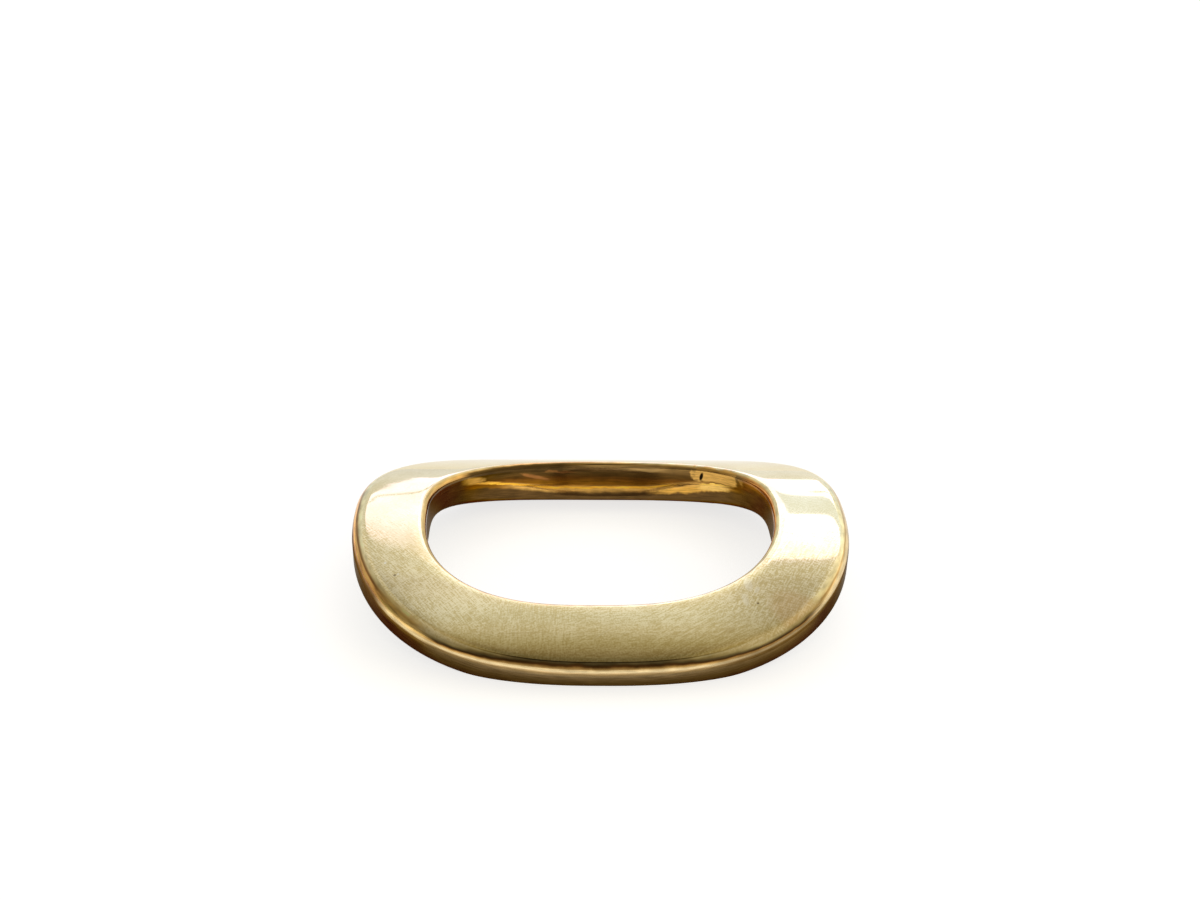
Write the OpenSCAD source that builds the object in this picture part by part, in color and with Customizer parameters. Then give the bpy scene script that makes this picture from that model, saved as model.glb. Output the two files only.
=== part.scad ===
// A cast ring pull for a drawer or a cabinet door, in millimetres.
// It is one solid casting: a thick band ring with a soft, squarish outline, bent to a low arch.
// Its front and back ends are the feet, and its two sides rise clear of the door for the fingers.
// The origin lies under the middle of the ring, on the surface that the feet are screwed to.
// +Z points away from that surface, and the arch bends round an axis along X.

/* [Ring] */
// Width of the ring from side to side
ring_width = 100; // [90:1:120]
// Length of the ring from foot to foot, measured flat, before the bend
ring_length = 94; // [84:1:106]
// Exponent of the outer outline: 2 is an ellipse, and more is squarer
ring_exponent = 2.5; // [2:0.05:4]
// Width of the finger hole
hole_width = 70.2; // [50:0.2:78]
// Length of the finger hole, measured flat, before the bend
hole_length = 62.6; // [50:0.2:68]
// Exponent of the hole's outline
hole_exponent = 2.65; // [2:0.05:4]
// Thickness of the band
band_t = 8.7; // [7:0.1:11]

/* [Arch] */
// Radius of the arch at the band's upper face
arch_r = 92.5; // [80:0.5:130]

/* [Edges] */
// Radius of the band's rounded outer edges
rim_edge_r = 2.2; // [0.5:0.1:3]
// Radius of the rounded edges round the hole
hole_edge_r = 1.2; // [0.3:0.1:2]

/* [Feet] */
// Height ground off the underside of each end, which leaves its flat seat
foot_grind = 2.8; // [2:0.1:4]

/* [Screw holes] */
// Bore of each blind hole, the tapping size of an M4 thread
tap_d = 3.3; // [2.5:0.1:4]
// Width of the countersink at each hole's mouth
mouth_d = 4.6; // [4.2:0.1:5]
// Metal left between the end of each hole and the upper face
roof_t = 2.4; // [1.8:0.1:3.5]

/* [Hidden] */
// Steps round the ring, round each edge, and across each face of the band
ring_steps = 96;
edge_steps = 4;
face_steps = 3;
// Angle of a twist drill's point, and how far each cut runs past the surface that it opens
drill_point = 118;
cut_past = 1;
$fn = 48;

// While the band is bent, the arch's axis is at height 0, and the seats are ground at seat_z
under_r = arch_r - band_t;
end_angle = ring_length / 2 / arch_r * 180 / PI;
seat_z = under_r * cos(end_angle) + foot_grind;
// Each seat's two edges on the centre line, with the screw hole midway between them
seat_inner_y = sqrt(pow(under_r, 2) - pow(seat_z, 2));
seat_outer_y = seat_z * tan(end_angle);
screw_y = (seat_inner_y + seat_outer_y) / 2;
// Depth of the screw hole's straight bore
screw_depth = sqrt(pow(arch_r, 2) - pow(screw_y, 2)) - seat_z - roof_t;

// A point of an outline with half sizes a and b, seen from its centre at angle w
function outline(w, a, b, exponent) =
    let (reach = pow(pow(abs(cos(w)), exponent) + pow(abs(sin(w)), exponent), -1 / exponent))
    [a * reach * cos(w), b * reach * sin(w)];

// A quarter round of radius r, as [inset from the wall, depth below the upper face] points.
// Its centre is r in from the wall, and it starts at angle w and turns 90 degrees clockwise.
function quarter(w, r, centre_depth) = [
    for (k = [0 : edge_steps])
        let (a = w - 90 * k / edge_steps)
        [r - r * cos(a), centre_depth - r * sin(a)]
];

// A whole rounded wall, from the upper face down to the underside
function wall(r) = concat(quarter(90, r, r), quarter(0, r, band_t - r));

// Points between p and q of one face, without the two ends
function between(p, q) = [for (k = [1 : face_steps - 1]) p + (q - p) * k / face_steps];

// The closed section where the band is wide across: down the outer wall, along the underside,
// up the hole's wall and back over the upper face. Each point is [out from the hole's wall, depth].
function section(wide) =
    let (
        outer = [for (p = wall(rim_edge_r)) [wide - p[0], p[1]]],
        hole = wall(hole_edge_r),
        last = len(hole) - 1,
        hole_up = [for (k = [last : -1 : 0]) hole[k]]
    )
    concat(outer, between(outer[last], hole_up[0]), hole_up, between(hole_up[last], outer[0]));

// A point x across and s along the flat band, depth below its upper face, carried to the arch
function on_arch(x, s, depth) =
    let (w = s / arch_r * 180 / PI)
    [x, (arch_r - depth) * sin(w), (arch_r - depth) * cos(w)];

// The section at angle w round the ring, bent with the band
function ring_section(w) =
    let (
        inner = outline(w, hole_width / 2, hole_length / 2, hole_exponent),
        outer = outline(w, ring_width / 2, ring_length / 2, ring_exponent),
        wide = norm(outer - inner),
        away = (outer - inner) / wide
    )
    [for (p = section(wide)) let (flat = inner + away * p[0]) on_arch(flat[0], flat[1], p[1])];

// The rounded band before its feet are ground, closed on itself round the ring
module band() {
    rings = [for (i = [0 : ring_steps - 1]) ring_section(360 * i / ring_steps)];
    across = len(rings[0]);
    function at(i, j) = (i % ring_steps) * across + j % across;
    polyhedron(
        points = [for (r = rings) each r],
        faces = [
            for (i = [0 : ring_steps - 1], j = [0 : across - 1])
                each [
                    [at(i, j), at(i + 1, j), at(i + 1, j + 1)],
                    [at(i, j), at(i + 1, j + 1), at(i, j + 1)]
                ]
        ],
        convexity = 6
    );
}

// A blind tapped hole in a seat, with a countersunk mouth and a drilled end
module screw_hole() {
    mouth_depth = (mouth_d - tap_d) / 2;
    translate([0, 0, -cut_past]) cylinder(d = tap_d, h = screw_depth + cut_past);
    translate([0, 0, screw_depth])
        cylinder(d1 = tap_d, d2 = 0, h = tap_d / 2 / tan(drill_point / 2));
    translate([0, 0, -cut_past])
        cylinder(d1 = mouth_d + 2 * cut_past, d2 = tap_d, h = mouth_depth + cut_past);
}

// The space below the seats, which the grinding clears
module ground_off() {
    size = [2 * ring_width, 2 * ring_length, 2 * band_t];
    translate([-size[0] / 2, -size[1] / 2, -size[2]]) cube(size);
}

module ring_pull() {
    color("#bda565")
    difference() {
        translate([0, 0, -seat_z]) band();
        ground_off();
        for (side = [-1, 1]) translate([0, side * screw_y, 0]) screw_hole();
    }
}

ring_pull();
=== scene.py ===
import math
from functools import partial

import bmesh
import bpy
from mathutils import Matrix, Vector, noise


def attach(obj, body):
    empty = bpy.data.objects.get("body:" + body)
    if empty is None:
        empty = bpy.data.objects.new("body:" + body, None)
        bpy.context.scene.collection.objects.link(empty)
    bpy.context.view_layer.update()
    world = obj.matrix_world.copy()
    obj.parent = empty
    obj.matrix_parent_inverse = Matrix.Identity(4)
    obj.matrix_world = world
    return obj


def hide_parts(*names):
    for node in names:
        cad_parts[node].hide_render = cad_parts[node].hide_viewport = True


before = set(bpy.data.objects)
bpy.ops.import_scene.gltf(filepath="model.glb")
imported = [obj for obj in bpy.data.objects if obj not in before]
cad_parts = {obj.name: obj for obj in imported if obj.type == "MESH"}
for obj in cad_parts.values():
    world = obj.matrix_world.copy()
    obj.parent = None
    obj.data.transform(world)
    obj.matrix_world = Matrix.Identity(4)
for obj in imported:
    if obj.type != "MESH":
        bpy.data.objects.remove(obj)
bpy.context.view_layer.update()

mm = 0.001


def linear(hexColour):
    # an sRGB hex colour as the linear RGBA that Blender's sockets take
    channels = [int(hexColour[i:i + 2], 16) / 255 for i in (0, 2, 4)]
    return [c / 12.92 if c <= 0.04045 else ((c + 0.055) / 1.055) ** 2.4 for c in channels] + [1]


def addNode(tree, kind, inputs=None, out=0, stops=None, **settings):
    # adds a node, sets it, gives each input a link, a hex colour or a value, and returns one output
    node = tree.nodes.new(kind)
    for name, value in settings.items():
        setattr(node, name, value)
    for name, value in (inputs or {}).items():
        if isinstance(value, bpy.types.NodeSocket):
            tree.links.new(value, node.inputs[name])
        else:
            node.inputs[name].default_value = linear(value) if isinstance(value, str) else value
    if stops:
        elements = node.color_ramp.elements
        elements.remove(elements[0])
        elements[0].position, elements[0].color = stops[0][0], linear(stops[0][1])
        for at, hexColour in stops[1:]:
            elements.new(at).color = linear(hexColour)
    return node if out is None else node.outputs[out]


def newMaterial(name):
    material = bpy.data.materials.new(name)
    material.use_nodes = True
    material.node_tree.nodes.clear()
    return material, partial(addNode, material.node_tree)


def smoothStep(low, high, value):
    share = min(max((value - low) / (high - low), 0), 1)
    return share * share * (3 - 2 * share)


# sizes in millimetres, the same as the CAD part's
# "corners" is how much fuller, or with a minus less full, hand filing left each corner of an outline:
# right back, left back, left front, right front
rimOutline = {"width": 100, "length": 94, "squareness": 2.5, "corners": (0, -0.05, 0, 0)}
holeOutline = {
    "width": 70.2, "length": 62.6, "squareness": 2.65, "corners": (-0.05, -0.09, 0.022, -0.013),
}
ring = {
    "thickness": 8.7, "archRadius": 92.5, "rimRound": 2.2, "holeRound": 1.2, "footGrind": 2.8,
    # how finely the mesh is divided; edges longer than the two limits cross the faces and the walls
    "segments": 480, "rimSteps": 10, "holeSteps": 7, "faceCuts": 15, "rimWallCuts": 8, "holeWallCuts": 20,
    "faceLimit": 6, "wallLimit": 2.5,
}

# what filing and polishing by hand did to the cast shape; sizes in millimetres
handwork = {
    "rimRoll": 4.0, "rimDrop": 0.12,    # the face rolls off towards the rim: over what width, and how far
    "holeRoll": 2.6, "holeDrop": 0.18,    # and towards the hole
    "holePolish": 1.6, "rimPolish": 1.6,    # how far down the walls the wheel reached
    # how much fuller the hole's corners are at the underside than at the face, in the order of "corners"
    "undercut": (0.09, 0.16, 0, 0),
    "rippleSize": 17.0, "rippleDepth": 0.05,
    # a facet on the rim's front left edge, in degrees round the rim, and how much of the edge it takes off
    "facetFrom": -178, "facetTo": -124, "facetPeak": (-160, -140), "facetCut": 0.25,
    # a ledge filed across the hole's back wall; it fades out past its reach and towards the face
    "ledgeDepth": 0.2, "ledgeSlope": 0.45, "ledgeReach": 27, "ledgeEnds": (-6, 2), "ledgeTop": (0.3, 2.2),
    "ledgeLow": 5.75, "ledgeRise": 2.1, "ledgeLevel": 8,    # its depth, and its rise beyond a level middle
}


def fullness(angle, outline):
    corner = outline["corners"][int(angle // (math.pi / 2)) % 4]
    return 1 + corner * math.sin(2 * angle) ** 2


def outlinePoint(angle, outline):
    c, s, power = math.cos(angle), math.sin(angle), outline["squareness"]
    reach = (abs(c) ** power + abs(s) ** power) ** (-1 / power) * fullness(angle, outline)
    return Vector((outline["width"] / 2 * reach * c, outline["length"] / 2 * reach * s, 0))


def outlineShare(point, outline):
    # 1 on the outline, less inside it
    c, s, power = 2 * point.x / outline["width"], 2 * point.y / outline["length"], outline["squareness"]
    return (abs(c) ** power + abs(s) ** power) ** (1 / power) / fullness(math.atan2(s, c), outline)


def edgesOf(verts):
    return {edge for vert in verts for edge in vert.link_edges}


def outlineLoop(bm, outline):
    made = bmesh.ops.create_circle(bm, cap_ends=False, segments=ring["segments"], radius=1)
    for vert in made["verts"]:
        vert.co = outlinePoint(math.atan2(vert.co.y, vert.co.x), outline)
    return edgesOf(made["verts"])


def cutEdges(bm, cuts, test):
    edges = [edge for edge in bm.edges if test(*edge.verts)]
    bmesh.ops.subdivide_edges(bm, edges=edges, cuts=cuts, use_grid_fill=True)


def crossesFace(a, b):
    return abs(a.co.z - b.co.z) < 0.01 and (a.co - b.co).length > ring["faceLimit"]


def crossesWall(outline, a, b):
    onWall = abs(outlineShare(a.co, outline) - 1) < 0.01
    return onWall and abs(a.co.z - b.co.z) > ring["wallLimit"]


def buildFlatBand():
    # the two outlines, bridged, thickened, rounded and divided while the band is still flat
    bm = bmesh.new()
    loops = outlineLoop(bm, rimOutline) | outlineLoop(bm, holeOutline)
    bmesh.ops.bridge_loops(bm, edges=list(loops))
    lowered = bmesh.ops.extrude_face_region(bm, geom=bm.faces[:])
    lowered = [part for part in lowered["geom"] if isinstance(part, bmesh.types.BMVert)]
    bmesh.ops.translate(bm, verts=lowered, vec=(0, 0, -ring["thickness"]))
    bmesh.ops.recalc_face_normals(bm, faces=bm.faces[:])
    onRim = {vert for vert in bm.verts if abs(outlineShare(vert.co, rimOutline) - 1) < 1e-4}
    around = [edge for edge in bm.edges if abs(edge.verts[0].co.z - edge.verts[1].co.z) < 0.01]
    rimEdges = [edge for edge in around if all(vert in onRim for vert in edge.verts)]
    holeEdges = [edge for edge in around if not any(vert in onRim for vert in edge.verts)]
    for edges, radius, steps in (
        (rimEdges, ring["rimRound"], ring["rimSteps"]),
        (holeEdges, ring["holeRound"], ring["holeSteps"]),
    ):
        bmesh.ops.bevel(
            bm, geom=edges, offset=radius, offset_type="OFFSET", segments=steps,
            profile=0.5, affect="EDGES", material=-1,
        )
    cutEdges(bm, ring["faceCuts"], crossesFace)
    cutEdges(bm, ring["rimWallCuts"], partial(crossesWall, rimOutline))
    cutEdges(bm, ring["holeWallCuts"], partial(crossesWall, holeOutline))
    return bm


def ledgeDepthAt(x):
    # how deep below the face the filed ledge runs; it rises towards both ends
    rise = smoothStep(handwork["ledgeLevel"], handwork["ledgeReach"], abs(x))
    return handwork["ledgeLow"] - handwork["ledgeRise"] * rise


def facetShare(point):
    turn = math.degrees(math.atan2(point.y, point.x))
    first, last = handwork["facetPeak"]
    rise = smoothStep(handwork["facetFrom"], first, turn)
    return rise * (1 - smoothStep(last, handwork["facetTo"], turn))


def shapeByHand(bm):
    # keeps three attributes for the materials, and moves each point as the file and the wheel did
    belowFace = bm.verts.layers.float.new("belowFace")
    acrossBand = bm.verts.layers.float.new("acrossBand")
    aboveLedge = bm.verts.layers.float.new("aboveLedge")
    for vert in bm.verts:
        outward = Vector((vert.co.x, vert.co.y, 0))
        reach = outward.length
        outward.normalize()
        depth = -vert.co.z
        fromRim = reach / outlineShare(vert.co, rimOutline) - reach
        fromHole = reach - reach / outlineShare(vert.co, holeOutline)
        vert[belowFace] = depth
        vert[acrossBand] = min(max(fromHole / (fromHole + fromRim), 0), 1)
        if depth > 0 and fromHole < ring["holeRound"] + 0.01:
            vert[acrossBand] = 0
        vert[aboveLedge] = ledgeDepthAt(vert.co.x) - depth
        drop = handwork["rimDrop"] * max(0, 1 - fromRim / handwork["rimRoll"]) ** 2
        drop += handwork["holeDrop"] * max(0, 1 - fromHole / handwork["holeRoll"]) ** 2
        drop *= 1 - smoothStep(ring["thickness"] / 3, ring["thickness"], depth)
        move = Vector((0, 0, -drop))
        if fromRim < ring["rimRound"] and depth < ring["rimRound"]:
            cut = handwork["facetCut"] * facetShare(vert.co)
            cut *= max(0, ring["rimRound"] - fromRim - depth)
            move -= Vector((0, 0, cut)) + outward * cut
        if fromHole < 0.01 and vert.co.y > 0:
            first, last = (handwork["ledgeReach"] + past for past in handwork["ledgeEnds"])
            ends = 1 - smoothStep(first, last, abs(vert.co.x))
            above = smoothStep(-handwork["ledgeSlope"], handwork["ledgeSlope"], vert[aboveLedge])
            above *= smoothStep(*handwork["ledgeTop"], depth)
            move += outward * handwork["ledgeDepth"] * ends * above
        turn = math.atan2(vert.co.y / holeOutline["length"], vert.co.x / holeOutline["width"])
        under = handwork["undercut"][int(turn // (math.pi / 2)) % 4] * math.sin(2 * turn) ** 2
        under *= max(0, depth - ring["holeRound"]) / ring["thickness"] * (1 - vert[acrossBand]) ** 2
        vert.co += move + outward * reach * under
    for face in bm.faces:
        nearHole = all(vert[acrossBand] < 0.001 for vert in face.verts)
        deepest = max(vert[belowFace] for vert in face.verts)
        polished = deepest < handwork["holePolish" if nearHole else "rimPolish"]
        face.material_index = 0 if polished else 1


def seatHeight():
    endAngle = rimOutline["length"] / 2 / ring["archRadius"]
    return (ring["archRadius"] - ring["thickness"]) * math.cos(endAngle) + ring["footGrind"]


def bendToArch(bm):
    for vert in bm.verts:
        angle, radius = vert.co.y / ring["archRadius"], ring["archRadius"] + vert.co.z
        vert.co.y, vert.co.z = radius * math.sin(angle), radius * math.cos(angle) - seatHeight()


def rippleSkin(bm):
    # slow unevenness left by hand polishing, always inwards, so the ring stays inside its size
    bm.normal_update()
    for vert in bm.verts:
        wave = noise.noise(vert.co / handwork["rippleSize"] + Vector((3.1, 7.7, 1.9)))
        vert.co -= vert.normal * handwork["rippleDepth"] * (0.5 + wave / 2)


# the two screw holes hidden under the feet: tapped M4, blind, countersunk; sizes in millimetres
screwHole = {
    "bore": 3.3, "mouth": 4.6, "major": 4.0, "pitch": 0.7, "roof": 2.4, "threadTo": 4.9, "runOut": 0.6,
    "flank": 1.5, "flat": 0.25,    # how steep the thread's sides are, and how far its crests are flattened
    "drillPoint": 118, "segments": 48, "ringsPerPitch": 10,
}


def pullLoop(bm, edges, rise, factor):
    # extrudes a loop of edges upwards and scales it about its own middle
    made = bmesh.ops.extrude_edge_only(bm, edges=edges)["geom"]
    verts = [part for part in made if isinstance(part, bmesh.types.BMVert)]
    middle = sum((vert.co for vert in verts), Vector()) / len(verts)
    lifted = middle + Vector((0, 0, rise))
    bmesh.ops.translate(bm, verts=verts, vec=(0, 0, rise))
    bmesh.ops.scale(bm, verts=verts, vec=(factor, factor, 1), space=Matrix.Translation(-lifted))
    return verts, [part for part in made if isinstance(part, bmesh.types.BMEdge)]


def cutThread(verts, height, screwY):
    # pushes one ring of the bore outwards into the thread's groove, which runs out before the end
    middle = Vector((0, screwY, height))
    groove = (screwHole["major"] - screwHole["bore"]) / 2
    fade = 1 - smoothStep(screwHole["threadTo"] - screwHole["runOut"], screwHole["threadTo"], height)
    for vert in verts:
        out = vert.co - middle
        turn = math.atan2(out.y, out.x) / (2 * math.pi)
        phase = (height / screwHole["pitch"] - turn) % 1
        depth = min(max(abs(2 * phase - 1) * screwHole["flank"] - screwHole["flat"], 0), 1)
        vert.co = middle + out.normalized() * (screwHole["bore"] / 2 + groove * depth * fade)


def groundSeats(bm):
    # grinds both feet flat at z = 0, and sinks a tapped hole in each
    bmesh.ops.bisect_plane(
        bm, geom=bm.verts[:] + bm.edges[:] + bm.faces[:], dist=1e-5,
        plane_co=(0, 0, 0), plane_no=(0, 0, 1), clear_inner=True,
    )
    under = ring["archRadius"] - ring["thickness"]
    seatInner = math.sqrt(under ** 2 - seatHeight() ** 2)
    seatOuter = seatHeight() * math.tan(rimOutline["length"] / 2 / ring["archRadius"])
    screwY = (seatInner + seatOuter) / 2
    boreDepth = math.sqrt(ring["archRadius"] ** 2 - screwY ** 2) - seatHeight() - screwHole["roof"]
    for side in (-1, 1):
        openEdges = [edge for edge in bm.edges if edge.is_boundary and edge.verts[0].co.y * side > 0]
        mouth = bmesh.ops.create_circle(
            bm, cap_ends=False, segments=screwHole["segments"], radius=screwHole["mouth"] / 2,
            matrix=Matrix.Translation((0, side * screwY, 0)),
        )["verts"]
        mouthEdges = list(edgesOf(mouth))
        seat = bmesh.ops.triangle_fill(
            bm, edges=openEdges + mouthEdges, use_beauty=True, normal=(0, 0, -1),
        )
        for part in seat["geom"]:
            if isinstance(part, bmesh.types.BMFace):
                part.material_index = 2
        old = set(bm.faces)
        height = (screwHole["mouth"] - screwHole["bore"]) / 2
        verts, edges = pullLoop(bm, mouthEdges, height, screwHole["bore"] / screwHole["mouth"])
        rise = screwHole["pitch"] / screwHole["ringsPerPitch"]
        while height < boreDepth - rise:
            verts, edges = pullLoop(bm, edges, rise, 1)
            height += rise
            cutThread(verts, height, side * screwY)
        point = screwHole["bore"] / 2 / math.tan(math.radians(screwHole["drillPoint"] / 2))
        verts = pullLoop(bm, edges, point, 0.02)[0]    # nearly closed, then merged into the drill's point
        bmesh.ops.pointmerge(bm, verts=verts, merge_co=(0, side * screwY, height + point))
        for face in set(bm.faces) - old:
            face.material_index = 3


def buildRing():
    bm = buildFlatBand()
    shapeByHand(bm)
    bendToArch(bm)
    rippleSkin(bm)
    groundSeats(bm)
    bmesh.ops.recalc_face_normals(bm, faces=bm.faces[:])
    for face in bm.faces:
        face.smooth = face.material_index != 2
    for edge in bm.edges:    # sharp only where a ground seat or a tapped hole begins
        edge.smooth = len({max(face.material_index, 1) for face in edge.link_faces}) == 1
    bmesh.ops.scale(bm, verts=bm.verts[:], vec=(mm, mm, mm))
    mesh = bpy.data.meshes.new("ringPull")
    bm.to_mesh(mesh)
    bm.free()
    piece = bpy.data.objects.new("ringPull", mesh)
    bpy.context.scene.collection.objects.link(piece)
    return piece


ringPull = buildRing()
print("ring built:", len(ringPull.data.polygons), "faces")


def millimetres(add):
    # the piece's own coordinates in millimetres
    place = add("ShaderNodeTexCoord", out="Object")
    return add("ShaderNodeVectorMath", {0: place, "Scale": 1 / mm}, operation="SCALE")


def between(add, value, low, high, soft):
    # 1 from low to high, fading to 0 over "soft" on both sides
    rise = add("ShaderNodeMapRange", {
        "Value": value, "From Min": low - soft, "From Max": low,
    }, interpolation_type="SMOOTHSTEP")
    fall = add("ShaderNodeMapRange", {
        "Value": value, "From Min": high + soft, "From Max": high,
    }, interpolation_type="SMOOTHSTEP")
    return add("ShaderNodeMath", {0: rise, 1: fall}, operation="MULTIPLY")


def spot(add, flat, x, y, wide, high, turn=0, soft=0.3):
    # a soft-edged oval mark: 1 inside, 0 outside; "turn" is in degrees
    local = add("ShaderNodeMapping", {
        "Vector": flat, "Location": (x, y, 0), "Rotation": (0, 0, math.radians(turn)),
        "Scale": (wide / 2, high / 2, 1),
    }, vector_type="TEXTURE")
    reach = add("ShaderNodeVectorMath", {0: local}, out="Value", operation="LENGTH")
    return add("ShaderNodeMapRange", {
        "Value": reach, "From Min": 1 + soft, "From Max": 1 - soft,
    }, interpolation_type="SMOOTHSTEP")


def strokes(add, flat, angle, width, length, seed):
    # straight strokes of the wheel or the belt: noise stretched along one direction, and shifted by a seed
    turned = add("ShaderNodeMapping", {"Vector": flat, "Rotation": (0, 0, math.radians(-angle))})
    squeezed = add("ShaderNodeMapping", {
        "Vector": turned, "Location": (seed * 7.3, seed * 3.1, 0), "Scale": (1 / length, 1 / width, 1),
    })
    return add("ShaderNodeTexNoise", {"Vector": squeezed, "Scale": 1.0, "Detail": 1.0})


# most of a noise texture's values lie between these two
noiseLow, noiseHigh = 0.3, 0.7

# the polished face; sizes in millimetres
# the real grit's marks are finer than this grain and these strokes, which are drawn coarse enough to show
polish = {
    "light": "FDF1CA", "dark": "DECC96", "contrast": 2.6, "relief": 0.0018, "roughness": (0.035, 0.08),
    "grain": 0.36,
    "clouds": (9.0, 1.2),    # broad unevenness of the colour: its size and strength
    "ragged": (6.0, 12.0),    # how the edges of each set of strokes wander: over what size, and how far
    # behind this border the wheel was finer: it fades over y, slants left of x, and leaves this much grain
    "border": {"x": -34.5, "slant": 0.83, "y": (-17, -21), "grainLeft": 0.35},
    "dulling": (0.2, 1.2, 0.14),    # roughness added over the edge: from and to which depth, and how much
    # where each set of strokes lies (x, y, wide, high), its angle, a stroke's width, length and strength
    "strokes": (
        (-38, -22, 44, 40, -50, 0.30, 2.2, 1.0), (-38, -22, 44, 40, 38, 0.28, 1.8, 0.8),
        (-15, -36, 20, 20, 86, 0.36, 2.6, 0.6), (-12, -36, 30, 20, 20, 0.34, 1.6, 0.5),
        (3, -36, 24, 20, 5, 0.32, 2.0, 0.7), (19, -36, 22, 20, 30, 0.30, 2.4, 1.0),
        (38, -22, 34, 36, 62, 0.30, 2.0, 1.3), (38, -22, 34, 36, -20, 0.32, 1.4, 1.1),
        (38, 20, 40, 44, -35, 0.30, 1.8, 0.8), (-38, 20, 40, 44, 40, 0.30, 1.8, 0.6),
        (0, 38, 60, 20, 8, 0.30, 2.6, 0.6),
    ),
    # scratches left over from coarser grit, given the same way: only the noise's highest values show
    "scratches": (
        (-16, -37, 14, 12, 88, 0.16, 7, 0.5), (10, -36, 30, 12, 33, 0.18, 12, 0.4),
        (-38, -26, 24, 24, -48, 0.16, 5, 0.4),
    ),
    "scratch": "FFF9E4", "scratchNoise": (0.64, 0.74), "scratchSeed": 30,
    # single marks: x, y, wide, high, turn, colour, strength; the small near-white dots at the left front and
    # the thin pale line at the front are painted glints
    "marks": (
        (28.9, -21.5, 1.2, 2.6, 20, "FFF8E0", 0.6), (27.8, -26.2, 1.6, 3.6, 8, "FFF8E0", 0.5),
        (27.0, -30.0, 1.2, 3.0, 14, "FFF8E0", 0.4), (29.4, -27.7, 0.8, 1.6, -30, "FFF8E0", 0.5),
        (37.0, -33.0, 12, 8, -40, "E8B880", 0.3), (29.3, -30.9, 0.5, 0.4, 0, "6E5530", 0.8),
        (-39.8, -24.2, 0.6, 0.5, 30, "6E5530", 0.7), (33.5, -30.0, 2.2, 1.4, 30, "CDB67C", 0.4),
        (23.6, -36.8, 2.4, 1.2, 15, "CDB67C", 0.4), (-15.0, -37.5, 9, 0.3, 2, "CDB67C", 0.3),
        (-41.9, -20.9, 0.5, 0.5, 0, "FFFBEC", 0.9), (-39.2, -23.9, 0.4, 0.4, 0, "FFFBEC", 0.9),
        (-17.3, -41.9, 4.5, 0.25, 4, "FFF3C8", 0.8),
    ),
}

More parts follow.
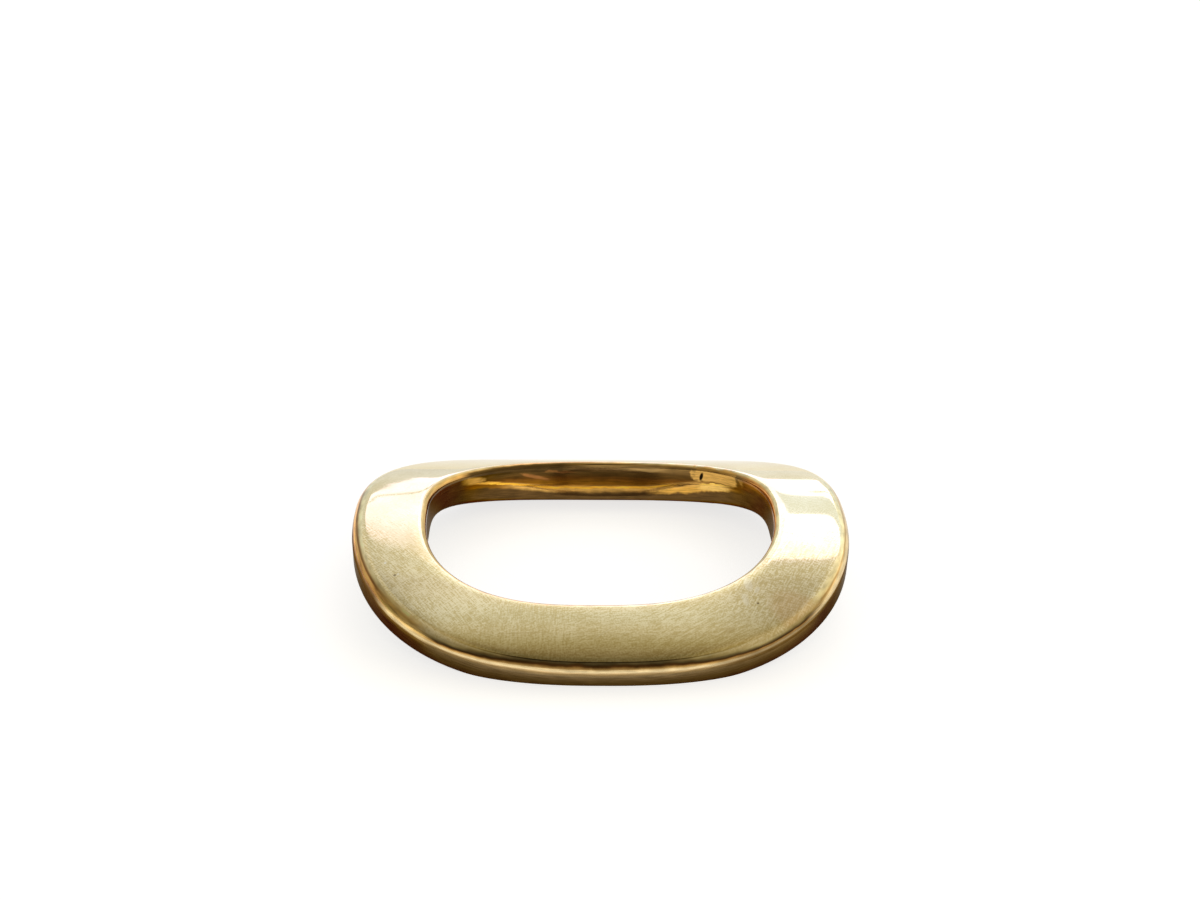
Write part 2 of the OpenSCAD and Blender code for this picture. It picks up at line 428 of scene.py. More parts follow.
# the walls; sizes in millimetres, and every depth is below the face
walls = {
    # colours by depth: the rim, its left corner and its two ends, and the hole's two sides and back
    # the rim: the face's edge darkened as painted shade, a dark painted shade line, a painted highlight
    # band, then brown that darkens downwards as painted shade
    "rim": (
        (-1.0, "D6C898"), (-0.5, "CAB886"), (-0.2, "AC9A66"), (-0.06, "7A663E"), (0.03, "5C4E30"),
        (0.12, "463216"), (0.25, "4E3014"), (0.34, "84602F"), (0.5, "BC9454"), (0.7, "D6BC8A"),
        (0.95, "E6D0A0"), (1.15, "CCAE7E"), (1.4, "A08456"), (2.0, "947E5C"), (2.5, "8A7454"),
        (3.0, "806A4C"), (3.5, "746044"), (4.5, "665236"), (5.5, "58442C"), (8.7, "4E3E28"),
    ),
    # the left corner: painted highlights and painted reflections along the edge
    "rimCorner": (
        (0.0, "FCE6AC"), (0.3, "EAC376"), (0.7, "EAC376"), (0.95, "FFD27A"), (1.4, "EACA8E"),
        (1.7, "F3DAA4"), (2.1, "F3DAA4"), (2.5, "A27C4E"), (3.0, "8E7346"), (3.5, "6E5430"),
        (4.2, "5A4226"), (8.7, "4A3820"),
    ),
    # the left end: a painted copper reflection along the edge
    "rimLeft": (
        (0.0, "F4E7B8"), (0.15, "F0DCA4"), (0.3, "B08850"), (0.45, "A07038"), (0.6, "FFC070"),
        (0.95, "FFC068"), (1.15, "DC9C58"), (1.4, "94704A"), (1.8, "7E6446"), (4.0, "6A563E"),
        (8.7, "4E4230"),
    ),
    # the right end: a painted pale reflection along the edge
    "rimRight": (
        (0.0, "F4E7B8"), (0.25, "F0DCA4"), (0.4, "C09A5C"), (0.7, "E0C490"), (1.3, "DCC494"),
        (1.6, "806C4C"), (3.0, "564630"), (8.7, "443A2A"),
    ),
    # the hole's sides: a painted highlight band near the face, then brown
    "holeLeft": (
        (0.0, "E8CC90"), (0.2, "C8A460"), (0.5, "D4A458"), (0.8, "B88A4C"), (1.1, "846430"),
        (1.4, "6E522A"), (2.0, "5E4424"), (8.7, "5A462A"),
    ),
    "holeRight": (
        (0.0, "F4E7B8"), (0.2, "F0D494"), (0.35, "E8B464"), (0.5, "E8A050"), (0.8, "DC9444"),
        (1.2, "D89848"), (1.7, "BC8440"), (2.2, "9C7038"), (2.6, "80602E"), (3.2, "745836"),
        (8.7, "684E32"),
    ),
    # the hole's back wall: painted reflections, bright at the top edge, darker, then lighter again lower
    # down
    "back": (
        (-0.4, "F4E7B8"), (-0.1, "D8BC80"), (0.12, "B89458"), (0.3, "A08048"), (0.6, "8A6C3C"),
        (1.4, "765A32"), (2.0, "644A24"), (2.8, "5C401A"), (3.3, "6C4518"), (3.8, "7C5018"),
        (4.3, "885A16"), (5.5, "A06A1E"), (8.7, "4A3820"),
    ),
    # the rim's parts that differ set in over x, and so does the hole's right side; its back: from, to, soft
    "rimParts": ((38, 42.5, "rimRight"), (-31, -36, "rimCorner"), (-40, -44, "rimLeft")),
    "holeSides": (-20, 20), "holeBack": (-27, 29.3, 3),
    # where the colours sink deeper: from x, to x, how far and by which curve; and how uneven they are
    "rimDips": ((8, 32, 0.72, "SMOOTHSTEP"), (-14, -34, 0.7, "SMOOTHSTEP")), "rimUneven": 0.25,
    "backDips": ((-12, -31, 0.2, "SMOOTHERSTEP"), (-6, 14, 0.4, "SMOOTHSTEP")), "backUneven": 0.5,
    "faceEnds": (-0.6, -0.2),    # where the rim's colours take over from the face's
    # oblong areas of painted shade and painted light: left, right and softness, top, bottom and softness,
    # colour, strength
    "rimAreas": (((26, 38, 8), (0.5, 2.2, 0.15), "6A5030", 0.6),),
    "backAreas": (
        ((-27, -9, 5), (0.4, 1.8, 0.3), "382810", 0.7), ((0, 12, 5), (0.3, 1.4, 0.3), "C09C60", 0.55),
    ),
    # a painted tan reflection: left, right and softness, top, bottom and softness, colour, strength
    "paintedTanSheen": ((21.4, 29.4, 0.8), (0.3, 3.1, 0.4), "D8A858", 0.9),
    "redPatch": ((30, 34, 1.5), (0.9, 3.2, 0.6), "8A5428", (12, 18)),    # at the end, from y and to y
    # along the filed ledge, a painted gold highlight: colour, left, right and softness; the foot's colour
    # sets in below it
    "gold": ("FFBC40", -23, 16, 3), "belowGold": ("E4B05C", -16, 20, 7), "foot": ("644A28", -0.5, -1.4),
    # above the ledge: the gold's lower and upper edge and softness, its unevenness, and the next one's start
    "goldHeight": (-0.05, 0.3, 0.12), "goldUneven": 0.8, "belowGoldFrom": 0.8,
    # spots on the back wall, painted reflections: x, depth, wide, high, turn, colour, strength
    "spots": (
        (-27.5, 2.4, 5.0, 1.8, 8, "E4B05C", 0.85), (-24.0, 3.6, 5.0, 0.5, 4, "FFC050", 0.7),
        (-9, 1.9, 6, 0.5, 2, "A8703C", 0.5), (-13.8, 3.0, 5.0, 0.8, 14, "A8703C", 0.7),
        (20.3, 5.55, 15, 1.5, -8, "E8B050", 0.95), (24.8, 4.6, 6, 1.5, -8, "F0C46C", 0.9),
        (16.8, 4.85, 8, 0.3, -11, "6A4A1E", 0.7), (24.5, 3.9, 7, 0.4, -6, "FFD060", 0.7),
    ),
    "spotSoftness": 0.45, "wander": (5.0, 1.4),    # how far noise moves the spots' edges, along and down
    "blackMark": (22.6, 2.3, 0.7, 1.9, 10, "1A1208"),
    # streaks run along the band and are thin across it; they and a broader noise shade the colours
    "streakSize": (3.5, 3.5, 0.28), "streakShade": (0.72, 1.25), "wobbleSize": 2.5, "wobbleShade": 0.5,
    "holeEdge": 0.03,    # over this depth the hole's colours take over from the face's
    # below the polish only part of the surface is bare metal, and it is dull at a low angle
    "bare": 0.5, "bareDepth": (1.0, 2.4), "edgeTint": "AC946E", "roughness": 0.24, "relief": 0.01,
}


def byDepth(add, depth, stops):
    # a colour ramp over a depth in millimetres, from 1 above the face to 9 below it
    share = add("ShaderNodeMapRange", {"Value": depth, "From Min": -1.0, "From Max": 9.0})
    return add("ShaderNodeValToRGB", {"Fac": share}, stops=[((at + 1) / 10, shade) for at, shade in stops])


def paint(add, under, share, strength, shade):
    # lays a shade over the colour under it
    share = add("ShaderNodeMath", {0: share, 1: strength}, operation="MULTIPLY")
    return add("ShaderNodeMix", {0: share, 6: under, 7: shade}, out=2, data_type="RGBA")


def area(add, x, depth, acrossLimits, depthLimits):
    # a soft-edged oblong on a wall: 1 inside, 0 outside
    return add("ShaderNodeMath", {
        0: between(add, x, *acrossLimits), 1: between(add, depth, *depthLimits),
    }, operation="MULTIPLY")


def onWalls(add, point):
    # where a point of a wall lies, and the noise that its colours share
    at = {
        name: add("ShaderNodeAttribute", out="Fac", attribute_name=name)
        for name in ("belowFace", "acrossBand", "aboveLedge")
    }
    at["x"], at["y"] = add("ShaderNodeSeparateXYZ", {0: point}, out=None).outputs[:2]
    along = add("ShaderNodeCombineXYZ", {0: at["x"], 1: at["y"], 2: at["belowFace"]})
    scales = [1 / size for size in walls["streakSize"]]
    along = add("ShaderNodeVectorMath", {0: along, 1: scales}, operation="MULTIPLY")
    at["streaks"] = add("ShaderNodeTexNoise", {"Vector": along, "Scale": 1.0, "Detail": 3.0})
    wobble = add("ShaderNodeTexNoise", {"Vector": point, "Scale": 1 / walls["wobbleSize"], "Detail": 3.0})
    at["wobble"] = add("ShaderNodeMath", {0: wobble, 1: 0.5}, operation="SUBTRACT")
    return at


def unevenDepth(add, at, dips, uneven):
    # the depth below a line that dips towards both sides, moved up and down by noise
    here, there = (
        add("ShaderNodeMapRange", {
            "Value": at["x"], "From Min": start, "From Max": end, "To Max": most,
        }, interpolation_type=curve)
        for start, end, most, curve in dips
    )
    dip = add("ShaderNodeMath", {0: here, 1: there}, operation="ADD")
    depth = add("ShaderNodeMath", {0: at["belowFace"], 1: dip}, operation="SUBTRACT")
    return add("ShaderNodeMath", {0: at["wobble"], 1: uneven, 2: depth}, operation="MULTIPLY_ADD")


def rimColour(add, at):
    # a dark painted shade line along the edge, then a painted highlight band; the two ends and the left
    # corner differ
    depth = unevenDepth(add, at, walls["rimDips"], walls["rimUneven"])
    colour = byDepth(add, depth, walls["rim"])
    for acrossLimits, depthLimits, shade, strength in walls["rimAreas"]:
        share = area(add, at["x"], depth, acrossLimits, depthLimits)
        colour = paint(add, colour, share, strength, shade)
    start, end = walls["faceEnds"]
    faceEnds = add("ShaderNodeMapRange", {"Value": depth, "From Min": start, "From Max": end})
    for start, end, stops in walls["rimParts"]:
        share = add("ShaderNodeMapRange", {
            "Value": at["x"], "From Min": start, "From Max": end,
        }, interpolation_type="SMOOTHSTEP")
        part = byDepth(add, at["belowFace"], walls[stops])
        colour = add("ShaderNodeMix", {0: share, 6: colour, 7: part}, out=2, data_type="RGBA")
        faceEnds = add("ShaderNodeMath", {0: faceEnds, 1: share}, operation="MAXIMUM")
    return colour, faceEnds


def backColour(add, at):
    # the hole's back wall in painted reflections: a painted gold highlight along a filed ledge, then a
    # painted tan reflection and a black mark
    depth = unevenDepth(add, at, walls["backDips"], walls["backUneven"])
    colour = byDepth(add, depth, walls["back"])
    for acrossLimits, depthLimits, shade, strength in walls["backAreas"]:
        share = area(add, at["x"], depth, acrossLimits, depthLimits)
        colour = paint(add, colour, share, strength, shade)

    shade, *limits = walls["belowGold"]
    share = add("ShaderNodeMapRange", {
        "Value": at["aboveLedge"], "From Min": walls["belowGoldFrom"], "From Max": 0.0,
    }, interpolation_type="SMOOTHSTEP")
    colour = paint(add, colour, share, between(add, at["x"], *limits), shade)
    ragged = add("ShaderNodeMath", {
        0: at["wobble"], 1: walls["goldUneven"], 2: at["aboveLedge"],
    }, operation="MULTIPLY_ADD")
    shade, start, end = walls["foot"]
    share = add("ShaderNodeMapRange", {
        "Value": ragged, "From Min": start, "From Max": end,
    }, interpolation_type="SMOOTHSTEP")
    colour = add("ShaderNodeMix", {0: share, 6: colour, 7: shade}, out=2, data_type="RGBA")
    shade, *limits = walls["gold"]
    share = between(add, ragged, *walls["goldHeight"])
    colour = paint(add, colour, share, between(add, at["x"], *limits), shade)

    along, down = walls["wander"]
    movedX = add("ShaderNodeMath", {0: at["wobble"], 1: along, 2: at["x"]}, operation="MULTIPLY_ADD")
    movedDepth = add("ShaderNodeMath", {
        0: at["wobble"], 1: down, 2: at["belowFace"],
    }, operation="MULTIPLY_ADD")
    moved = add("ShaderNodeCombineXYZ", {0: movedX, 1: movedDepth})
    for x, y, wide, high, turn, shade, strength in walls["spots"]:
        share = spot(add, moved, x, y, wide, high, turn, walls["spotSoftness"])
        colour = paint(add, colour, share, strength, shade)
    acrossLimits, depthLimits, shade, strength = walls["paintedTanSheen"]
    share = area(add, movedX, movedDepth, acrossLimits, depthLimits)
    colour = paint(add, colour, share, strength, shade)
    *place, shade = walls["blackMark"]
    share = spot(add, add("ShaderNodeCombineXYZ", {0: at["x"], 1: at["belowFace"]}), *place)
    return add("ShaderNodeMix", {0: share, 6: colour, 7: shade}, out=2, data_type="RGBA")


def sideColour(add, at):
    # the hole's other walls: brown under a painted highlight band near the face, with a reddish patch beside
    # the back wall's right end
    start, end = walls["holeSides"]
    share = add("ShaderNodeMapRange", {
        "Value": at["x"], "From Min": start, "From Max": end,
    }, interpolation_type="SMOOTHSTEP")
    left, right = (byDepth(add, at["belowFace"], walls[name]) for name in ("holeLeft", "holeRight"))
    colour = add("ShaderNodeMix", {0: share, 6: left, 7: right}, out=2, data_type="RGBA")
    acrossLimits, depthLimits, shade, (start, end) = walls["redPatch"]
    share = area(add, at["x"], at["belowFace"], acrossLimits, depthLimits)
    behind = add("ShaderNodeMapRange", {"Value": at["y"], "From Min": start, "From Max": end})
    return paint(add, colour, share, behind, shade)


def wallColour(add, point):
    # the casting's walls: brown, streaked along the band, with painted highlight bands near their edges and
    # painted shade below;
    # gives the place, the colour, how bare the metal is, and where the face's colour has ended
    at = onWalls(add, point)
    rim, faceEnds = rimColour(add, at)
    behind = add("ShaderNodeMath", {0: at["y"], 1: 0.0}, operation="GREATER_THAN")
    atBack = between(add, at["x"], *walls["holeBack"])
    atBack = add("ShaderNodeMath", {0: atBack, 1: behind}, operation="MULTIPLY")
    onRim = add("ShaderNodeMath", {0: at["acrossBand"], 1: 0.5}, operation="GREATER_THAN")
    colour = add("ShaderNodeMix", {
        0: atBack, 6: sideColour(add, at), 7: backColour(add, at),
    }, out=2, data_type="RGBA")
    colour = add("ShaderNodeMix", {0: onRim, 6: colour, 7: rim}, out=2, data_type="RGBA")
    low, high = walls["streakShade"]
    shade = add("ShaderNodeMapRange", {
        "Value": at["streaks"], "From Min": noiseLow, "From Max": noiseHigh, "To Min": low, "To Max": high,
    })
    shade = add("ShaderNodeMath", {
        0: at["wobble"], 1: walls["wobbleShade"], 2: shade,
    }, operation="MULTIPLY_ADD")
    colour = add("ShaderNodeVectorMath", {0: colour, "Scale": shade}, operation="SCALE")

    start, end = walls["bareDepth"]
    deep = add("ShaderNodeMapRange", {"Value": at["belowFace"], "From Min": start, "From Max": end})
    dirty = add("ShaderNodeMath", {0: 1.0, 1: atBack}, operation="SUBTRACT")
    dirty = add("ShaderNodeMath", {0: dirty, 1: onRim}, operation="MAXIMUM")
    dirty = add("ShaderNodeMath", {0: dirty, 1: deep}, operation="MULTIPLY")
    bare = add("ShaderNodeMapRange", {"Value": dirty, "To Min": 1.0, "To Max": walls["bare"]})
    atHole = add("ShaderNodeMapRange", {
        "Value": at["belowFace"], "From Min": 0.0, "From Max": walls["holeEdge"],
    })
    faceEnds = add("ShaderNodeMix", {0: onRim, 2: atHole, 3: faceEnds})
    return at, colour, bare, faceEnds


def wheelMarks(add, point, flat, ragged):
    # the strokes' height: an even grain with sets of strokes over it, finer behind the border
    grain = add("ShaderNodeTexNoise", {"Vector": flat, "Scale": 1 / polish["grain"], "Detail": 3.0})
    relief = add("ShaderNodeMath", {0: grain, 1: 0.5}, operation="SUBTRACT")
    for seed, (x, y, wide, high, angle, width, length, strength) in enumerate(polish["strokes"]):
        part = strokes(add, flat, angle, width, length, seed)
        part = add("ShaderNodeMath", {0: part, 1: 0.5}, operation="SUBTRACT")
        share = spot(add, ragged, x, y, wide, high)
        share = add("ShaderNodeMath", {0: share, 1: strength}, operation="MULTIPLY")
        relief = add("ShaderNodeMath", {0: part, 1: share, 2: relief}, operation="MULTIPLY_ADD")
    border = polish["border"]
    x, y = add("ShaderNodeSeparateXYZ", {0: point}, out=None).outputs[:2]
    past = add("ShaderNodeMath", {0: x, 1: border["x"]}, operation="SUBTRACT")
    past = add("ShaderNodeMath", {0: past, 1: 0.0}, operation="MINIMUM")
    level = add("ShaderNodeMath", {0: past, 1: border["slant"], 2: y}, operation="MULTIPLY_ADD")
    start, end = border["y"]
    coarse = add("ShaderNodeMapRange", {
        "Value": level, "From Min": start, "From Max": end, "To Min": border["grainLeft"], "To Max": 1.0,
    }, interpolation_type="SMOOTHSTEP")
    return grain, add("ShaderNodeMath", {0: relief, 1: coarse}, operation="MULTIPLY")


def faceColour(add, point, flat, ragged, relief):
    # two tones, mixed by the strokes and by broad clouds, with scratches and single marks over them, a few
    # of the marks painted glints
    size, cloudiness = polish["clouds"]
    clouds = add("ShaderNodeTexNoise", {"Vector": point, "Scale": 1 / size, "Detail": 4.0})
    share = add("ShaderNodeMath", {0: relief, 1: polish["contrast"], 2: 0.5}, operation="MULTIPLY_ADD")
    share = add("ShaderNodeMath", {0: clouds, 1: cloudiness, 2: share}, operation="MULTIPLY_ADD")
    share = add("ShaderNodeMath", {0: share, 1: cloudiness / 2}, operation="SUBTRACT", use_clamp=True)
    colour = add("ShaderNodeMix", {
        0: share, 6: polish["dark"], 7: polish["light"],
    }, out=2, data_type="RGBA")
    start, end = polish["scratchNoise"]
    for seed, (x, y, wide, high, angle, width, length, strength) in enumerate(polish["scratches"]):
        line = add("ShaderNodeMapRange", {
            "Value": strokes(add, flat, angle, width, length, seed + polish["scratchSeed"]),
            "From Min": start, "From Max": end, "To Max": strength,
        })
        colour = paint(add, colour, line, spot(add, ragged, x, y, wide, high), polish["scratch"])
    for x, y, wide, high, turn, shade, strength in polish["marks"]:
        colour = paint(add, colour, spot(add, flat, x, y, wide, high, turn), strength, shade)
    return colour


def makePolishedBrass():
    # warm yellow metal, bright and a little uneven: fine short strokes cross it in every direction
    material, add = newMaterial("cast brass, hand polished")
    point = millimetres(add)
    flat = add("ShaderNodeVectorMath", {0: point, 1: (1, 1, 0)}, operation="MULTIPLY")
    size, far = polish["ragged"]
    wander = add("ShaderNodeTexNoise", {"Vector": flat, "Scale": 1 / size, "Detail": 3.0}, out="Color")
    wander = add("ShaderNodeVectorMath", {0: wander, "Scale": far}, operation="SCALE")
    ragged = add("ShaderNodeVectorMath", {0: flat, 1: wander}, operation="ADD")
    ragged = add("ShaderNodeVectorMath", {0: ragged, 1: [-far / 2] * 3}, operation="ADD")
    ragged = add("ShaderNodeVectorMath", {0: ragged, 1: (1, 1, 0)}, operation="MULTIPLY")
    grain, relief = wheelMarks(add, point, flat, ragged)
    face = faceColour(add, point, flat, ragged, relief)

    # the walls' colours take over on the rounded edges, with their painted shade line and painted highlight
    # band
    at, wall, bare, faceEnds = wallColour(add, point)
    onWall = add("ShaderNodeMath", {0: at["belowFace"], 1: 0.01}, operation="GREATER_THAN")
    colour = paint(add, face, onWall, faceEnds, wall)
    low, high = polish["roughness"]
    roughness = add("ShaderNodeMapRange", {
        "Value": grain, "From Min": noiseLow, "From Max": noiseHigh, "To Min": low, "To Max": high,
    })
    start, end, most = polish["dulling"]
    dulling = add("ShaderNodeMapRange", {
        "Value": at["belowFace"], "From Min": start, "From Max": end, "To Max": most,
    })
    roughness = add("ShaderNodeMath", {0: roughness, 1: dulling}, operation="ADD")
    bump = add("ShaderNodeBump", {"Height": relief, "Distance": polish["relief"] * mm, "Strength": 1.0})
    shader = add("ShaderNodeBsdfPrincipled", {
        "Base Color": colour, "Roughness": roughness, "Normal": bump, "Metallic": bare,
        "Specular Tint": "EDEDED", "Specular IOR Level": 0.0,
    })
    add("ShaderNodeOutputMaterial", {"Surface": shader}, out=None)
    return material


def makeAgedAndShadedBrass():
    # the lower walls and the underside, never polished: brown, streaked along the band, dull at a low angle;
    # their colour darkens downwards as painted shade and holds the back wall's painted reflections
    material, add = newMaterial("brass, aged brown with painted shade")
    at, colour, bare, _ = wallColour(add, millimetres(add))
    bump = add("ShaderNodeBump", {
        "Height": at["streaks"], "Distance": walls["relief"] * mm, "Strength": 1.0,
    })
    shader = add("ShaderNodeBsdfPrincipled", {
        "Base Color": colour, "Roughness": walls["roughness"], "Normal": bump, "Metallic": bare,
        "Specular Tint": walls["edgeTint"], "Specular IOR Level": 0.0,
    })
    add("ShaderNodeOutputMaterial", {"Surface": shader}, out=None)
    return material


# the ground seats; sizes in millimetres
belt = {
    "light": "D8C48E", "dark": "C2A96C", "roughness": (0.26, 0.38), "relief": 0.008,
    "marks": (4, 0.25, 14, 5),    # their angle, width, length and seed
}


def makeGroundBrass():
    # brass ground flat on a belt: dull gold, with fine straight marks along the foot
    material, add = newMaterial("brass, belt ground")
    marks = strokes(add, millimetres(add), *belt["marks"])
    colour = add("ShaderNodeMix", {0: marks, 6: belt["light"], 7: belt["dark"]}, out=2, data_type="RGBA")
    low, high = belt["roughness"]
    roughness = add("ShaderNodeMapRange", {"Value": marks, "To Min": low, "To Max": high})
    bump = add("ShaderNodeBump", {"Height": marks, "Distance": belt["relief"] * mm, "Strength": 1.0})
    shader = add("ShaderNodeBsdfPrincipled", {
        "Base Color": colour, "Roughness": roughness, "Normal": bump, "Metallic": 1.0,
    })
    add("ShaderNodeOutputMaterial", {"Surface": shader}, out=None)
    return material


# the tapped holes; the stains' size is in millimetres
tapped = {"clean": "C9AE70", "stained": "8E7440", "stainSize": 0.8, "roughness": (0.25, 0.4)}


def makeTappedBrass():
    # cut thread: bright brass, darkened in spots by old cutting oil
    material, add = newMaterial("brass, tapped")
    stain = add("ShaderNodeTexNoise", {
        "Vector": millimetres(add), "Scale": 1 / tapped["stainSize"], "Detail": 3.0,
    })
    colour = add("ShaderNodeMix", {
        0: stain, 6: tapped["clean"], 7: tapped["stained"],
    }, out=2, data_type="RGBA")
    low, high = tapped["roughness"]
    roughness = add("ShaderNodeMapRange", {"Value": stain, "To Min": low, "To Max": high})
    shader = add("ShaderNodeBsdfPrincipled", {
        "Base Color": colour, "Roughness": roughness, "Metallic": 1.0,
    })
    add("ShaderNodeOutputMaterial", {"Surface": shader}, out=None)
    return material


for made in (makePolishedBrass(), makeAgedAndShadedBrass(), makeGroundBrass(), makeTappedBrass()):
    ringPull.data.materials.append(made)
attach(ringPull, "root")
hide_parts("ring_pull")
print("finishes made")


# the floor, the sky and the light cards
studio = {
    "floorSize": 80.0, "floorGap": 0.02 * mm, "floor": "C8C8C6", "floorRoughness": 0.8, "floorGlow": 0.74,
    # the sky by angle over the ring, in degrees: 0 is the horizon behind it, 180 the one before it
    "middle": (
        (0, "FCFDFF"), (10, "FCFDFF"), (13.5, "F0EFE8"), (50, "FFFDF8"), (54, "FFFFFA"), (58, "FFFEF8"),
        (62, "EFEBE5"), (66, "EFECE6"), (70, "E8E7E1"), (74, "DAD9D0"), (78, "CEC9B9"), (82, "ADA486"),
        (86, "897C5E"), (90, "73694E"), (94, "6C6147"), (100, "574E39"), (106, "6C655A"), (112, "D2CEC4"),
        (150, "DAD6CC"), (157, "C8C4BC"), (172, "C4C0B8"), (176, "D8D6D0"), (180, "E4E2DC"),
    ),
    "aside": (
        (0, "FCFDFF"), (10, "FCFDFF"), (13.5, "EEEDE6"), (46, "E4E2DC"), (52, "E1DFD9"), (58, "D4D1CA"),
        (62, "C2BEB6"), (66, "BAB6AD"), (70, "B6B2A8"), (74, "B0AB9F"), (78, "ABA48F"), (82, "A89D80"),
        (86, "AEA080"), (90, "A6986F"), (94, "A29470"), (100, "98895F"), (106, "9A9078"), (112, "CECAC0"),
        (150, "D2CEC4"), (157, "C8C4BC"), (172, "C4C0B8"), (176, "D8D6D0"), (180, "E4E2DC"),
    ),
    "ends": (
        (0, "EAF0F2"), (36, "F6F8F8"), (46, "FCF8F2"), (54, "F2EDE4"), (60, "E8E2D4"), (75, "CFC8B6"),
        (95, "BAB09A"), (130, "B0A690"), (160, "D0CCC2"), (180, "E0DED8"),
    ),
    # how far off the centre each of these sets in, as the sideways part of the direction
    "centre": 0.01, "skyParts": (("middle", 0, 1), ("aside", 0.06, 0.125), ("ends", 0.13, 0.26)),
    "tilt": 0.5,    # how much more light there is on the right
    "waveScale": 9.0, "waveHeight": 0.16,    # the cards' edges are a little uneven
    "softEdge": 0.01, "softSide": 0.012,    # how soft the cards' lower edges and sides are
    # the softbox behind and the cards before it, as slopes across (x / y) and up (z / y) from the ring;
    # "fade" softens the upper edge, "slant" lifts the lower edge from "pivot" outwards, "lean" tips the
    # sides, and a card that is "over" the rest covers the light behind it
    "lights": (
        {"left": -0.155, "right": 0.04, "low": 0.19, "high": 0.42, "fade": 0.85, "slant": 4.6,
         "pivot": 0.083, "lean": -0.09, "colour": "CCC4FF", "strength": 1.05},
        {"left": -0.155, "right": 0.04, "low": 0.19, "high": 1.36, "fade": 0.03, "slant": 4.6,
         "pivot": 0.083, "lean": -0.09, "colour": "F4E4FF", "strength": 0.24},
        {"left": 0.04, "right": 1.4, "low": 0.19, "high": 0.62, "fade": 0.95, "slant": 2.4,
         "pivot": 0.165, "lean": -0.09, "colour": "CCBCFF", "strength": 1.25},
        {"left": 0.13, "right": 1.4, "low": 0.19, "high": 1.31, "fade": 0.02, "slant": 2.4,
         "pivot": 0.165, "lean": 0.0, "colour": "F0E4FF", "strength": 0.66},
        {"left": -1.4, "right": 1.4, "low": -0.4, "high": 0.24, "fade": 0.1, "slant": 0.0,
         "pivot": 0.0, "lean": 0.0, "colour": "90B4FF", "strength": 0.10},
        {"left": -0.14, "right": 0.02, "low": 0.352, "high": 0.368, "fade": 0.008, "slant": 2.8,
         "pivot": 0.09, "lean": 0.0, "colour": "FDFFF8", "strength": 0.92, "over": True},
        {"left": 0.247, "right": 0.72, "low": 0.37, "high": 0.60, "fade": 0.012, "slant": 1.1,
         "pivot": 0.14, "lean": -0.23, "colour": "E4EEFF", "strength": 1.35, "over": True},
        {"left": 0.158, "right": 0.40, "low": 0.335, "high": 0.348, "fade": 0.006, "slant": 0.0,
         "pivot": 0.0, "lean": 0.0, "colour": "FDFFF8", "strength": 1.05, "over": True},
    ),
}


def buildFloor():
    bm = bmesh.new()
    bmesh.ops.create_grid(bm, x_segments=1, y_segments=1, size=studio["floorSize"] / 2)
    bmesh.ops.translate(bm, verts=bm.verts[:], vec=(0, 0, -studio["floorGap"]))
    mesh = bpy.data.meshes.new("floor")
    bm.to_mesh(mesh)
    bm.free()
    floor = bpy.data.objects.new("floor", mesh)
    bpy.context.scene.collection.objects.link(floor)
    # pale and matt: it glows to near white for the camera and in the brass, but lights nothing by that glow
    material, add = newMaterial("pale matt floor")
    seen = add("ShaderNodeLightPath", out=None).outputs
    shown = add("ShaderNodeMath", {
        0: seen["Is Camera Ray"], 1: seen["Is Glossy Ray"],
    }, operation="MAXIMUM")
    shown = add("ShaderNodeMath", {0: shown, 1: seen["Is Transmission Ray"]}, operation="MAXIMUM")
    glow = add("ShaderNodeMath", {0: shown, 1: studio["floorGlow"]}, operation="MULTIPLY")
    shader = add("ShaderNodeBsdfPrincipled", {
        "Base Color": studio["floor"], "Roughness": studio["floorRoughness"], "Specular IOR Level": 0.0,
        "Emission Color": "FFFFFF", "Emission Strength": glow,
    })
    add("ShaderNodeOutputMaterial", {"Surface": shader}, out=None)
    floor.data.materials.append(material)


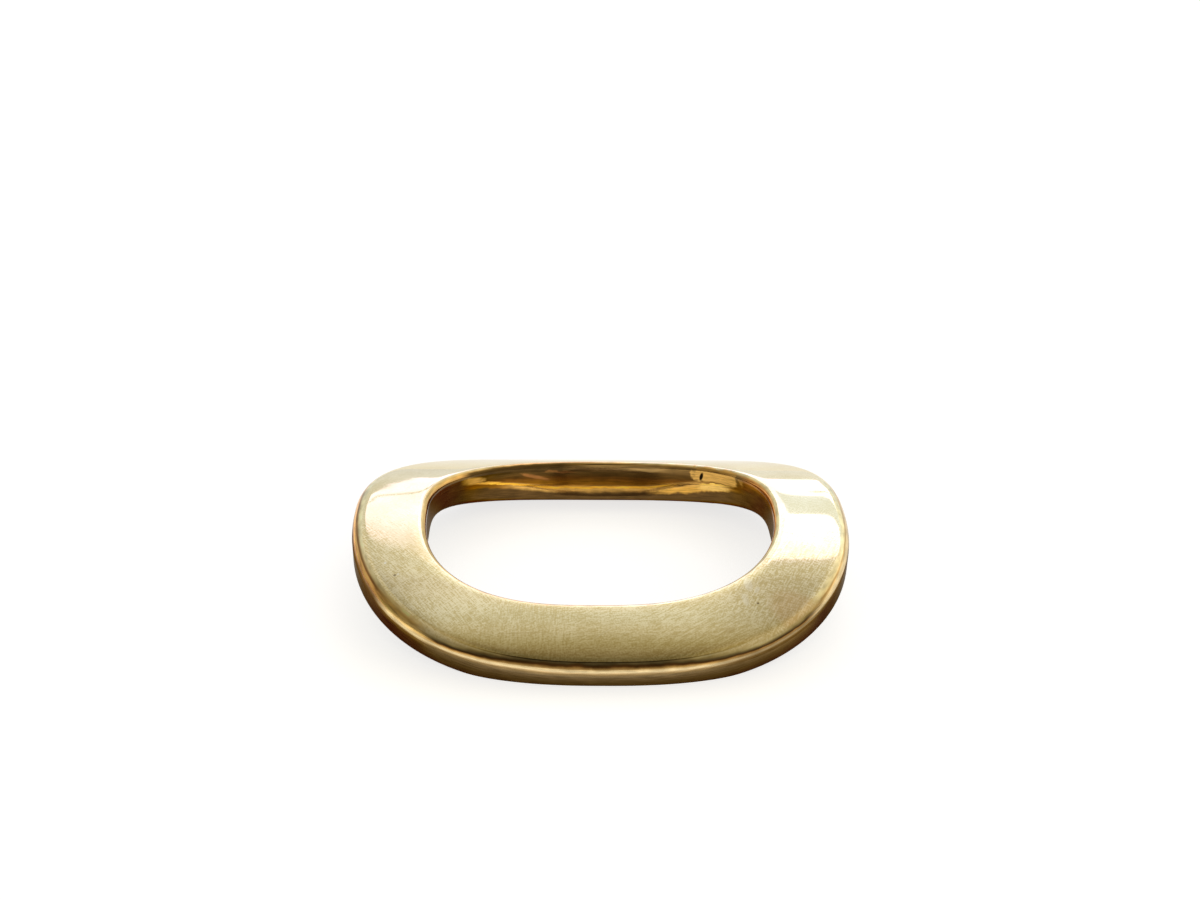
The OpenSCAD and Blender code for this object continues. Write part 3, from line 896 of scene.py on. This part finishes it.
def buildSky():
    world = bpy.data.worlds.new("soft studio")
    world.use_nodes = True
    world.node_tree.nodes.clear()
    bpy.context.scene.world = world
    add = partial(addNode, world.node_tree)
    direction = add("ShaderNodeTexCoord", out="Generated")
    x, y, z = add("ShaderNodeSeparateXYZ", {0: direction}, out=None).outputs
    over = add("ShaderNodeMath", {0: z, 1: y}, operation="ARCTAN2")
    over = add("ShaderNodeMath", {0: over, 1: math.pi}, operation="DIVIDE")
    off = add("ShaderNodeMath", {0: x, 1: studio["centre"]}, operation="SUBTRACT")
    off = add("ShaderNodeMath", {0: off}, operation="ABSOLUTE")
    light = None
    for name, start, end in studio["skyParts"]:
        stops = [(at / 180, shade) for at, shade in studio[name]]
        part = add("ShaderNodeValToRGB", {"Fac": over}, stops=stops)
        share = add("ShaderNodeMapRange", {
            "Value": off, "From Min": start, "From Max": end,
        }, interpolation_type="SMOOTHSTEP")
        if light:
            part = add("ShaderNodeMix", {0: share, 6: light, 7: part}, out=2, data_type="RGBA")
        light = part
    gain = add("ShaderNodeMath", {0: x, 1: studio["tilt"], 2: 1.0}, operation="MULTIPLY_ADD")
    light = add("ShaderNodeVectorMath", {0: light, "Scale": gain}, operation="SCALE")
    across = add("ShaderNodeMath", {0: x, 1: y}, operation="DIVIDE")
    up = add("ShaderNodeMath", {0: z, 1: y}, operation="DIVIDE")
    wave = add("ShaderNodeTexNoise", {"Vector": direction, "Scale": studio["waveScale"], "Detail": 2.0})
    up = add("ShaderNodeMath", {0: wave, 1: studio["waveHeight"], 2: up}, operation="MULTIPLY_ADD")
    up = add("ShaderNodeMath", {0: up, 1: studio["waveHeight"] / 2}, operation="SUBTRACT")
    behind = add("ShaderNodeMath", {0: y, 1: 0.001}, operation="GREATER_THAN")
    for card in studio["lights"]:
        outward = add("ShaderNodeMath", {0: across}, operation="ABSOLUTE")
        outward = add("ShaderNodeMath", {0: outward, 1: card["pivot"]}, operation="SUBTRACT")
        outward = add("ShaderNodeMath", {0: outward, 1: 0.0}, operation="MAXIMUM")
        level = add("ShaderNodeMath", {0: outward, 1: -card["slant"], 2: up}, operation="MULTIPLY_ADD")
        rise = add("ShaderNodeMapRange", {
            "Value": level, "From Min": card["low"] - studio["softEdge"], "From Max": card["low"],
        }, interpolation_type="SMOOTHSTEP")
        height = level if "over" in card else up
        fall = add("ShaderNodeMapRange", {
            "Value": height, "From Min": card["high"] + card["fade"], "From Max": card["high"],
        }, interpolation_type="SMOOTHSTEP")
        sideways = add("ShaderNodeMath", {0: up, 1: card["lean"], 2: across}, operation="MULTIPLY_ADD")
        sideways = add("ShaderNodeMath", {0: sideways, 1: card["lean"]}, operation="SUBTRACT")
        share = add("ShaderNodeMath", {0: rise, 1: fall}, operation="MULTIPLY")
        share = add("ShaderNodeMath", {
            0: share, 1: between(add, sideways, card["left"], card["right"], studio["softSide"]),
        }, operation="MULTIPLY")
        share = add("ShaderNodeMath", {0: share, 1: behind}, operation="MULTIPLY")
        glow = [card["strength"] * channel for channel in linear(card["colour"])[:3]] + [1]
        light = add("ShaderNodeMix", {
            0: share, 6: light, 7: glow,
        }, out=2, data_type="RGBA", blend_type="MIX" if "over" in card else "ADD")
    background = add("ShaderNodeBackground", {"Color": light})
    add("ShaderNodeOutputWorld", {"Surface": background}, out=None)


buildFloor()
buildSky()
print("studio lit")


# the camera, fitted to the outlines in the photograph; angles in degrees
view = {
    "lookAt": (-0.158 * mm, 4.637 * mm, 26.352 * mm), "distance": 350 * mm,
    "tilt": 25.149, "turn": 1.451, "roll": 0.882, "lens": 51.52, "sensor": 36, "sees": (0.01, 100),
}


def placeCamera():
    tilt, turn, roll = (math.radians(view[name]) for name in ("tilt", "turn", "roll"))
    forward = Vector((math.sin(turn) * math.cos(tilt), math.cos(turn) * math.cos(tilt), -math.sin(tilt)))
    level = Vector((math.cos(turn), -math.sin(turn), 0))
    upward = level.cross(forward)
    right = level * math.cos(roll) + upward * math.sin(roll)
    up = upward * math.cos(roll) - level * math.sin(roll)
    camera = bpy.data.objects.new("camera", bpy.data.cameras.new("camera"))
    bpy.context.scene.collection.objects.link(camera)
    camera.data.lens = view["lens"]
    camera.data.sensor_width = view["sensor"]
    camera.data.clip_start, camera.data.clip_end = view["sees"]
    turned = Matrix((right, up, -forward)).transposed().to_4x4()
    camera.matrix_world = Matrix.Translation(Vector(view["lookAt"]) - forward * view["distance"]) @ turned
    bpy.context.scene.camera = camera


placeCamera()
bpy.context.scene.view_settings.view_transform = "Standard"
